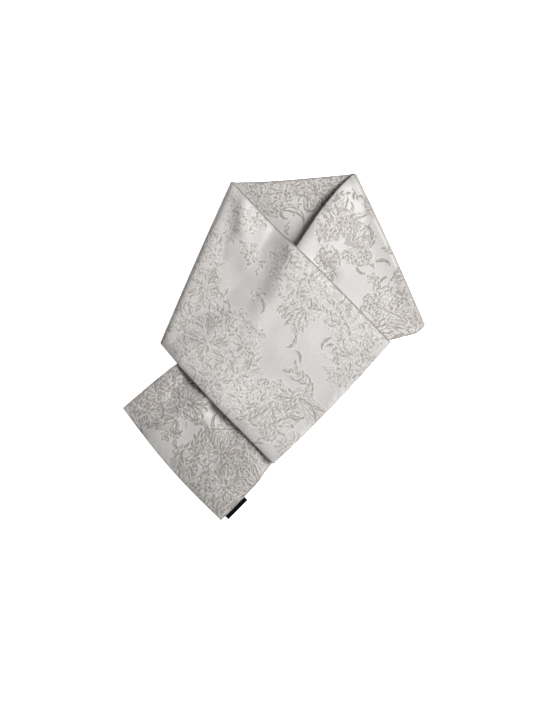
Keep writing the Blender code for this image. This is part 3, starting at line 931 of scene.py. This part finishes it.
overStretch = {
    "fill": (1.12, 1.18), "line": (0.68, 0.70), "neckShade": (1.55, 0.30), "lowShade": (0.0, 0.0),
    "turnShade": (0.5, 0.5, 0.35), "endShade": 0.40,
    "fold": leftFold, "folded": True, "endReach": 40.0, "drapeReach": 22.0,
    "rings": 262, "foldRings": 22, "fineColumns": 226, "coarseColumns": 60,
    "stations": [
        (0.16, -20.0, 201.6, -141.0, -29.4, 0.0),
        (0.32, 9.0, 171.8, -113.5, -59.6, 0.0),
        (0.55, 70.5, 113.0, -78.5, -97.0, 1.5),
        (1.00, 174.6, 6.4, -1.0, -175.6, 3.8),
    ],
    "creases": [
        (-88, 208, -84, 140, -2.4, 12),
        (4, 140, -18, 84, -1.3, 15),
        (-32, 74, -56, 28, -1.4, 15),
    ],
    # ridges where the whole layer stands clear of the one below
    "lifts": [
        (-54, 236, -47, 178, 6.6, 15),
        (-28, 226, -18, 172, 2.8, 18),
        (-45, 156, -38, 120, 2.0, 18),
        (30, 134, 8, 84, 1.7, 16),
        (-4, 76, -28, 32, 1.1, 16),
        (182, -2, 2, -184, 5.0, 24),
    ],
    "motifs": [
        ("thicket", [(-96, 160, 18, 80, 1), (-75, 25, 24, 60, -1), (-111, 127, 26, 70, 1),
            (-126, 70, 30, 100, 1), (-138, 17, 30, 80, -1), (-99, 40, 30, 60, 1), (-90, -5, 36, 100, -1),
            (-57, -8, 30, 80, 1), (-104, -47, 30, 120, 1), (-63, -73, 36, 30, -1), (-39, -38, 27, 90, 1),
            (-18, -98, 36, 10, 1), (-51, -107, 24, 330, 1), (16, -92, 30, 20, -1), (24, 127, 27, 40, 1),
            (51, 97, 33, 100, -1), (27, 82, 24, 30, 1), (84, 76, 21, 320, 1), (126, 10, 36, 60, 1),
            (117, -23, 30, 160, -1), (106, 43, 27, 0, 1), (-36, 187, 18, 0, 1), (15, -149, 15, 80, 1)]),
        ("spray", [(-117, 118, 45, 75, -1), (-90, 127, 39, 60, 1), (-141, 70, 45, 100, -1)]),
        ("acanthus", [(-129, 2, 51, 60, 1), (-111, -38, 51, 20, -1), (-88, 70, 39, 100, 1)]),
        ("spray", [(-72, 2, 45, 60, 1)]),
        ("acanthus", [(-51, -20, 45, 40, 1)]),
        ("spray", [(-148, 25, 39, 200, 1)]),
        ("acanthus", [(-78, -73, 45, 0, -1)]),
        ("spray", [(-33, -38, 39, 300, 1)]),
        ("acanthus", [(-44, -88, 42, 330, 1), (-18, -80, 45, 60, -1)]),
        ("spray", [(-63, -110, 39, 20, 1)]),
        ("acanthus", [(-36, -110, 54, 10, 1), (2, -118, 45, 40, -1)]),
        ("bloom", [(-104, 89, 33, 20, 1), (-126, 43, 30, 70, -1), (-90, 139, 16, 0, 1),
            (-99, 4, 40, 200, 1), (-57, -44, 39, 130, -1), (-134, -8, 22, 10, 1),
            (-90, -50, 27, 40, 1)]),
        ("camellia", [(-38, -68, 21, 20, 1), (3, -64, 18, 0, -1)]),
        ("bloom", [(-44, 2, 24, 90, -1)]),
        ("spray", [(-63, 37, 30, 80, 1), (-75, 62, 33, 262, 1)]),
        ("blossom", [(-50, 47, 10, 0, 1), (-33, 28, 9, 20, 1), (-21, 17, 9, 50, 1), (-63, 223, 8, 0, 1),
            (-60, 202, 9, 30, 1), (-68, 187, 8, 10, 1), (-60, 173, 8, 60, 1), (-64, 161, 8, 0, 1)]),
        ("spray", [(-51, 211, 18, 300, 1)]),
        ("camellia", [(-32, 188, 24, 10, 1)]),
        ("spray", [(-42, 115, 39, 70, 1)]),
        ("bloom", [(-36, 142, 16, 0, -1)]),
        ("spray", [(-9, 127, 24, 200, 1)]),
        ("acanthus", [(39, 127, 45, 200, 1), (69, 92, 51, 240, -1), (39, 70, 45, 190, 1)]),
        ("spray", [(14, 85, 33, 150, -1), (84, 70, 33, 320, 1)]),
        ("bloom", [(20, 127, 27, 40, -1), (51, 103, 28, 90, 1), (33, 82, 22, 0, 1)]),
        ("camellia", [(72, 83, 18, 20, 1)]),
        ("blossom", [(3, 115, 8, 0, 1), (4, 101, 8, 40, 1), (4, 89, 7, 10, 1), (-24, 76, 11, 0, 1)]),
        ("hook", [(-18, 70, 20, 300, -1)]),
        ("acanthus", [(44, 61, 51, 235, 1), (54, 70, 45, 265, -1)]),
        ("fan", [(50, 58, 26, 270, 1)]),
        ("hook", [(33, 16, 22, 265, -1)]),
        ("acanthus", [(147, -5, 54, 160, 1), (117, -38, 45, 215, -1)]),
        ("spray", [(156, 13, 36, 130, 1)]),
        ("camellia", [(102, 37, 34, 10, 1)]),
        ("bloom", [(129, -8, 30, 0, 1)]),
        ("fan", [(117, -13, 30, 190, -1)]),
        ("camellia", [(141, 10, 20, 60, -1)]),
        ("bloom", [(105, -43, 18, 200, 1)]),
        ("hook", [(84, 13, 21, 200, 1)]),
        ("spray", [(96, 2, 27, 240, 1), (58, -77, 54, 105, 1), (48, -50, 30, 150, -1)]),
        ("hook", [(39, -23, 18, 80, 1)]),
        ("acanthus", [(18, -98, 57, 15, 1), (39, -80, 54, 330, -1), (27, -77, 33, 150, 1),
            (-9, -140, 36, 80, 1)]),
        ("bloom", [(15, -152, 18, 0, 1)]),
        ("spray", [(-18, -125, 27, 40, -1), (-36, -143, 27, 0, 1)]),
    ],
}

underStretch = {
    "fill": (2.00, 1.90), "line": (1.30, 0.92), "neckShade": (0.1, 0.0), "lowShade": (1.0, 0.0),
    "turnShade": (1.6, 1.0, 0.45), "endShade": 0.0,
    "fold": rightFold, "folded": True, "endReach": 44.0, "drapeReach": 28.0,
    "rings": 270, "foldRings": 22, "fineColumns": 210, "coarseColumns": 90, "hidden": (0.46, 0.66),
    "stations": [
        (0.06, 94.5, 234.0, 210.5, 18.6, 0.0),
        (0.14, 67.5, 200.2, 189.0, 13.2, 0.0),
        (0.24, 33.0, 149.2, 156.0, 0.5, 0.0),
        (0.40, -15.5, 72.0, 100.5, -62.0, 0.0),
        (0.56, -78.0, 18.0, 50.0, -118.0, 0.0),
        (0.74, -144.0, -24.8, -6.5, -179.2, 0.0),
        (0.84, -177.0, -50.2, -26.4, -206.2, 3.0),
        (1.00, -226.8, -92.4, -79.6, -261.2, 6.2),
    ],
    "creases": [
        (66, 126, 84, 106, -3.0, 11),
        (-92, -96, -64, -128, -3.9, 12),
        (-132, -50, -152, -70, -3.0, 12),
        (-86, -73, -191, -128, 5.6, 14),
        (-44, -172, -112, -214, 3.6, 17),
        (-112, -166, -162, -196, 1.4, 13),
    ],
    "lifts": [
        (98, 245, 58, 193, 5.2, 24),
        (50, 183, 4, 123, 3.2, 24),
        (-160, 0, -12, -168, 6.0, 46),
    ],
    "motifs": [
        ("thicket", [(106, 184, 22, 60, 1), (84, 172, 21, 100, 1), (124, 134, 18, 0, 1),
            (81, 124, 20, 60, -1), (183, 58, 33, 150, 1), (166, 28, 30, 10, -1), (195, 100, 18, 80, 1),
            (96, 208, 15, 60, -1), (118, 160, 17, 40, 1), (-201, -86, 22, 30, 1),
            (-159, -113, 20, 60, 1), (-141, -176, 20, 70, 1), (-129, -206, 22, 50, -1),
            (-111, -227, 21, 90, 1), (-30, -173, 18, 120, 1), (-46, -212, 16, 60, -1),
            (-123, -59, 18, 20, -1), (-177, -80, 39, 40, 1), (-144, -56, 27, 0, -1),
            (-192, -104, 21, 80, 1), (-90, -155, 39, 60, 1), (-48, -149, 36, 120, -1),
            (-75, -200, 39, 80, 1), (-114, -179, 27, 20, 1), (-93, -233, 27, 60, -1),
            (-36, -191, 24, 100, 1), (-57, -230, 21, 30, 1)]),
        ("spray", [(117, 235, 33, 300, 1), (132, 212, 24, 350, -1)]),
        ("acanthus", [(93, 182, 39, 100, 1)]),
        ("spray", [(84, 212, 30, 60, -1)]),
        ("bloom", [(104, 181, 18, 0, 1)]),
        ("camellia", [(118, 176, 14, 20, -1)]),
        ("bloom", [(76, 172, 18, 90, 1)]),
        ("spray", [(84, 145, 33, 250, 1)]),
        ("bloom", [(78, 127, 20, 20, -1)]),
        ("acanthus", [(87, 107, 33, 220, 1)]),
        ("camellia", [(114, 134, 15, 20, -1), (136, 136, 15, 60, 1)]),
        ("hook", [(146, 160, 21, 80, 1), (153, 127, 20, 20, -1), (123, 118, 15, 290, 1)]),
        ("blossom", [(147, 101, 9, 0, 1)]),
        ("spray", [(171, 92, 36, 70, -1), (182, 130, 24, 110, 1)]),
        ("hook", [(168, 104, 15, 200, 1)]),
        ("acanthus", [(186, 52, 45, 160, 1)]),
        ("camellia", [(176, 52, 33, 150, 1)]),
        ("bloom", [(195, 73, 24, 10, -1)]),
        ("acanthus", [(171, 31, 45, 350, -1)]),
        ("spray", [(147, 43, 30, 320, 1)]),
        ("camellia", [(147, 62, 20, 240, -1)]),
        ("spray", [(153, 82, 21, 80, 1)]),
        ("acanthus", [(147, 25, 42, 0, 1)]),
        ("spray", [(201, 25, 27, 60, 1)]),
        ("acanthus", [(-186, -110, 45, 60, 1), (-153, -68, 42, 200, -1)]),
        ("spray", [(-201, -95, 36, 60, 1), (-164, -58, 36, 20, 1)]),
        ("camellia", [(-174, -83, 38, 0, 1)]),
        ("bloom", [(-189, -98, 21, 30, -1), (-153, -62, 22, 0, 1)]),
        ("fan", [(-129, -86, 33, 5, -1)]),
        ("hook", [(-135, -98, 24, 300, 1)]),
        ("acanthus", [(-147, -110, 30, 250, 1)]),
        ("hook", [(-156, -125, 18, 320, 1)]),
        ("blossom", [(-162, -134, 8, 0, 1)]),
        ("acanthus", [(-117, -148, 42, 20, 1), (-54, -125, 42, 200, -1)]),
        ("spray", [(-132, -170, 36, 40, 1)]),
        ("acanthus", [(-93, -200, 45, 90, 1)]),
        ("spray", [(-117, -194, 36, 340, -1)]),
        ("acanthus", [(-36, -170, 39, 150, 1)]),
        ("spray", [(-66, -230, 36, 120, -1)]),
        ("acanthus", [(-104, -230, 36, 330, 1)]),
        ("bloom", [(-81, -160, 40, 10, -1), (-40, -151, 26, 30, 1), (-117, -167, 21, 60, 1),
            (-72, -209, 32, 50, 1), (-105, -212, 21, 0, -1), (-87, -242, 18, 0, 1)]),
        ("camellia", [(-51, -185, 18, 0, 1)]),
        ("spray", [(-33, -185, 24, 100, 1)]),
        ("bloom", [(-57, -134, 16, 0, 1)]),
        ("hook", [(-136, -173, 18, 120, -1)]),
        ("thicket", [(226, 46, 26, 120, 1), (204, 30, 20, 200, -1), (238, 24, 22, 60, 1)]),
        ("bloom", [(214, 36, 22, 40, 1)]),
        ("spray", [(206, 74, 27, 290, 1)]),
        ("thicket", [(150, 206, 18, 300, 1)]),
    ],
}


def dress(piece, node, material):
    # hand a finished piece to the frame
    piece.data.materials.append(material)
    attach(piece, "root")
    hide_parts(node)


def makeScarf(jacquard):
    neck = makeStretch("neckStretch", neckStretch, lambda place: np.zeros(place.shape[:-1]))
    under = makeStretch("underStretch", underStretch, topSurface([neck], underStretch["drapeReach"]))
    over = makeStretch("overStretch", overStretch, topSurface([neck, under], overStretch["drapeReach"]))
    dress(neck, "neck_stretch", jacquard)
    dress(under, "under_stretch", jacquard)
    dress(over, "over_stretch", jacquard)


labelLoop = {
    "start": 9.5, "length": 41.0,       # along the seam from the scarf's end
    "width": 6.6, "ply": 0.42, "height": 1.5,
    "root": 0.4, "slit": (0.05, 0.04),  # past the seam, and half the gap between the plies at both ends
    "waist": 0.4,                       # share of the width that stays flat
    "rows": 60, "nose": 9,
}


def labelProfile():
    # two plies that lie together, with a round nose
    ply, width, root = labelLoop["ply"], labelLoop["width"], labelLoop["root"]
    atSeam, atNose = labelLoop["slit"]
    flat, inner = width * labelLoop["waist"], width - ply * 1.6
    nose = [(width - ply + ply * cos(angle), ply * sin(angle))
            for angle in np.linspace(-pi / 2, pi / 2, labelLoop["nose"])]
    return [(-root, -ply), (flat, -ply), *nose, (flat, ply), (-root, ply),
            (-root, atSeam), (inner, atNose), (inner, -atNose), (-root, -atSeam)]


def makeLabel(material):
    # a folded tape along the low seam, whose nose points out of it
    rows = planRows(underStretch)
    fine = seamCurve(rows, np.linspace(0.7, 1.0, 900))[::-1]
    away = np.linalg.norm(fine[:, 2:4] - fine[0, 2:4], axis=-1)
    wanted = labelLoop["start"] + labelLoop["length"] * np.linspace(0.0, 1.0, labelLoop["rows"])
    edge = np.stack([np.interp(wanted, away, fine[:, k]) for k in (2, 3)], axis=-1)
    run = edge[-1] - edge[0]
    out = np.array([run[1], -run[0]]) / np.linalg.norm(run)
    neckEnd = np.array(underStretch["stations"][-1][1:3])
    if out @ (edge[0] - neckEnd) < 0:
        out = -out
    rings = np.array([[(*(spot + out * (cloth["layerGap"] + x)), labelLoop["height"] + z)
                       for x, z in labelProfile()] for spot in edge])
    fields = {key: np.zeros(rings.shape[0] * rings.shape[1]) for key in (*drawnFields, "seam")}
    label = ringMesh("labelLoop", rings, fields, rings[..., :2])
    dress(label, "label", material)


studio = {
    "paper": {
        "Base Color": (0.97, 0.97, 0.97, 1.0), "Roughness": 0.9, "Specular IOR Level": 0.1,
        "Emission Color": (1.0, 1.0, 1.0, 1.0), "Emission Strength": 1.0,       # it takes no shadow
    },
    "paperHalf": 6.0, "paperDrop": 0.0004,              # half its side, and how far under the scarf
    "camera": (-0.01125, -0.0135, 2.9625),
    "lens": 100.0,
    "world": (0.97, 0.98, 1.0), "worldPower": 0.05,
    # name, place, aim and size in metres, power, spread in degrees
    "lights": [
        ("softbox", (1.25, 0.15, 1.3), (0.02, 0.11, 0.0), (0.9, 0.9), 8.3, 62.0),
        ("topPanel", (0.9, -0.3, 3.4), (0.0, 0.0, 0.0), (2.0, 2.0), 16.0, 180.0),
    ],
}


def makeLight(name, place, aim, size, power, spread):
    lamp = bpy.data.lights.new(name, "AREA")
    lamp.shape = "RECTANGLE"
    lamp.size, lamp.size_y = size
    lamp.energy = power
    lamp.spread = radians(spread)
    light = bpy.data.objects.new(name, lamp)
    light.location = place
    light.rotation_euler = (Vector(place) - Vector(aim)).to_track_quat("Z", "Y").to_euler()
    bpy.context.scene.collection.objects.link(light)


def makePaper():
    half = studio["paperHalf"]
    mesh = bpy.data.meshes.new("paperSheet")
    mesh.from_pydata([(-half, -half, 0), (half, -half, 0), (half, half, 0), (-half, half, 0)], [],
                     [(0, 1, 2, 3)])
    mesh.materials.append(newMaterial("palePaper", studio["paper"])[0])
    floor = bpy.data.objects.new("paperSheet", mesh)
    floor.location.z = -studio["paperDrop"]
    bpy.context.scene.collection.objects.link(floor)


def makeStudio():
    scene = bpy.context.scene
    camera = bpy.data.objects.new("camera", bpy.data.cameras.new("camera"))
    camera.data.lens = studio["lens"]
    camera.location = studio["camera"]
    scene.collection.objects.link(camera)
    scene.camera = camera
    world = bpy.data.worlds.new("studioWorld")
    world.use_nodes = True
    background = world.node_tree.nodes["Background"]
    background.inputs[0].default_value = (*studio["world"], 1.0)
    background.inputs[1].default_value = studio["worldPower"]
    scene.world = world
    scene.view_settings.view_transform = "Standard"
    for light in studio["lights"]:
        makeLight(*light)
    makePaper()


makeStudio()
print("studio is ready")
makeScarf(makeJacquard())
print("scarf is made")
makeLabel(makeLabelTape())
print("label is made")
